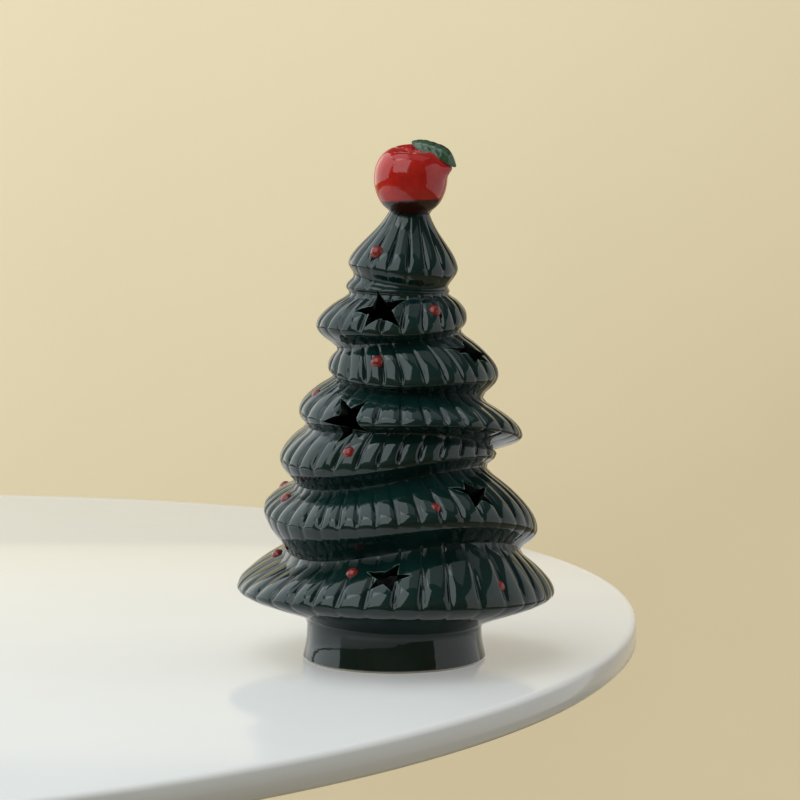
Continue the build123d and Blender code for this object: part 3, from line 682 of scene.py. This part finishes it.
# Stage: a plain pale round floor, a plain warm room wall round it, soft window panels and a dim
# surround. None of it belongs to the part.
FLOOR_RADIUS = 0.409
FLOOR_MIDDLE = (-0.303, 0.132)
FLOOR_THICK = 0.0120
ROOM_RADIUS = 3.0
ROOM_TOP = 1.6
ROOM_GROUND = -0.8
STAGE_AROUND = 192
rim = np.linspace(0, 2 * np.pi, STAGE_AROUND, endpoint=False)
# Floor: rows of a disc's rounded edge, top to bottom, closed by a fan above and below
edge_rows = [(-0.0030, 0.0), (-0.0010, -0.0006), (0.0, -0.0024), (0.0, 0.0020 - FLOOR_THICK),
             (-0.0020, -FLOOR_THICK)]
floor_rows = [np.stack([FLOOR_MIDDLE[0] + (FLOOR_RADIUS + out) * np.cos(rim),
                        FLOOR_MIDDLE[1] + (FLOOR_RADIUS + out) * np.sin(rim), down + 0 * rim], axis=-1)
              for out, down in edge_rows]
floor_points = np.concatenate([*floor_rows, [(*FLOOR_MIDDLE, 0), (*FLOOR_MIDDLE, -FLOOR_THICK)]])
floor = add_piece("floor", floor_points, [
    grid_faces(len(floor_rows), STAGE_AROUND),
    fan_faces(len(floor_points) - 2, np.arange(STAGE_AROUND), True),
    fan_faces(len(floor_points) - 1, np.arange(STAGE_AROUND) + (len(floor_rows) - 1) * STAGE_AROUND, False),
])
# Room: a wide upright cylinder with a ground disc, open at the top
room_rows = [np.stack([ROOM_RADIUS * np.cos(rim), ROOM_RADIUS * np.sin(rim), level + 0 * rim], axis=-1)
             for level in (ROOM_TOP, ROOM_GROUND)]
room_points = np.concatenate([*room_rows, [(0, 0, ROOM_GROUND)]])
room = add_piece("room", room_points, [
    grid_faces(len(room_rows), STAGE_AROUND)[:, ::-1],
    fan_faces(len(room_points) - 1, np.arange(STAGE_AROUND, 2 * STAGE_AROUND), True),
])
floor_finish = new_finish("pale_floor", 12.0, (0.80, 0.79, 0.775), (0.82, 0.81, 0.795), 0.10, 0.14, 0.0)
floor_finish.node_tree.nodes["Principled BSDF"].inputs["Specular IOR Level"].default_value = 0.25
wall_finish = new_finish("warm_wall", 1.5, (0.52, 0.44, 0.28), (0.56, 0.47, 0.31), 0.80, 0.90, 0.2)
# Painted light: the wall is painted paler towards the upper left, where the window light falls
overlay(wall_finish, place_mask(wall_finish, (-1.0, 0, 1.2), -0.9, 1.2), (0.74, 0.66, 0.45))


def lift(material, glow, mask):
    """Seen directly, mirrored or through glass, a background shines in its own colour.

    The glow is its strength where the mask is 1.
    """
    nodes = material.node_tree.nodes
    links = material.node_tree.links
    shader = nodes["Principled BSDF"]
    ray = nodes.new("ShaderNodeLightPath")
    share = ray.outputs["Is Camera Ray"]
    for kind in ("Is Glossy Ray", "Is Transmission Ray"):
        either = nodes.new("ShaderNodeMath")
        either.operation = "MAXIMUM"
        links.new(share, either.inputs[0])
        links.new(ray.outputs[kind], either.inputs[1])
        share = either.outputs["Value"]
    strength = nodes.new("ShaderNodeMath")
    strength.operation = "MULTIPLY"
    strength.inputs[1].default_value = glow
    links.new(share, strength.inputs[0])
    masked = nodes.new("ShaderNodeMath")
    masked.operation = "MULTIPLY"
    links.new(strength.outputs["Value"], masked.inputs[0])
    links.new(mask, masked.inputs[1])
    links.new(base_colour(material), shader.inputs["Emission Color"])
    links.new(masked.outputs["Value"], shader.inputs["Emission Strength"])


# The floor's upright edge isn't lifted, and the room stays dim but for the wall behind the tree
lift(floor_finish, 0.21, place_mask(floor_finish, (0, 0, 1), -0.0022, -0.0004))
lift(wall_finish, 0.89, place_mask(wall_finish, (0, 1, 0), 1.7, 2.7))
floor.data.materials.append(floor_finish)
room.data.materials.append(wall_finish)


def panel(name, place, aim, width, height, power, colour):
    """A soft rectangular lamp at a place, turned to face a point."""
    lamp = bpy.data.lights.new(name, "AREA")
    lamp.shape = "RECTANGLE"
    lamp.size = width
    lamp.size_y = height
    lamp.energy = power
    lamp.color = colour
    holder = bpy.data.objects.new(name, lamp)
    holder.location = place
    holder.visible_camera = False
    way = np.array(aim) - np.array(place)
    holder.rotation_euler = (np.arccos(-way[2] / np.linalg.norm(way)), 0, np.arctan2(-way[0], way[1]))
    bpy.context.scene.collection.objects.link(holder)


panel("left_window", (-1.28, 0.50, 0.86), (0, 0, 0.60), 2.4, 1.7, 19.5, (0.88, 0.95, 1.0))
panel("front_window", (-0.57, -0.82, 0.95), (0, 0, 0.10), 1.2, 1.25, 8.8, (0.87, 0.96, 0.97))
panel("right_window", (1.35, 0.10, 0.25), (0, 0, 0.25), 2.4, 1.7, 9.0, (0.92, 0.96, 1.0))
panel("left_skylight", (-0.51, 0.0, 1.45), (-0.51, 0.001, 0), 1.0, 1.1, 4.6, (0.88, 0.96, 0.98))
panel("right_skylight", (0.51, 0.0, 1.45), (0.51, 0.001, 0), 1.0, 1.1, 1.3, (0.88, 0.96, 0.98))
world = bpy.data.worlds.new("surround")
world.use_nodes = True
world.node_tree.nodes["Background"].inputs["Color"].default_value = (0.90, 0.92, 0.95, 1)
world.node_tree.nodes["Background"].inputs["Strength"].default_value = 0.10
bpy.context.scene.world = world

# Camera: level with the neck of the tree, looking slightly down
CAMERA_DIP = np.radians(4.55)
camera_data = bpy.data.cameras.new("camera")
camera_data.lens = 108
camera_data.sensor_width = 36
camera = bpy.data.objects.new("camera", camera_data)
camera.location = (0.00223, -0.930, 0.175)
camera.rotation_euler = (np.pi / 2 - CAMERA_DIP, 0, 0)
bpy.context.scene.collection.objects.link(camera)
bpy.context.scene.camera = camera
bpy.context.scene.view_settings.view_transform = "Standard"
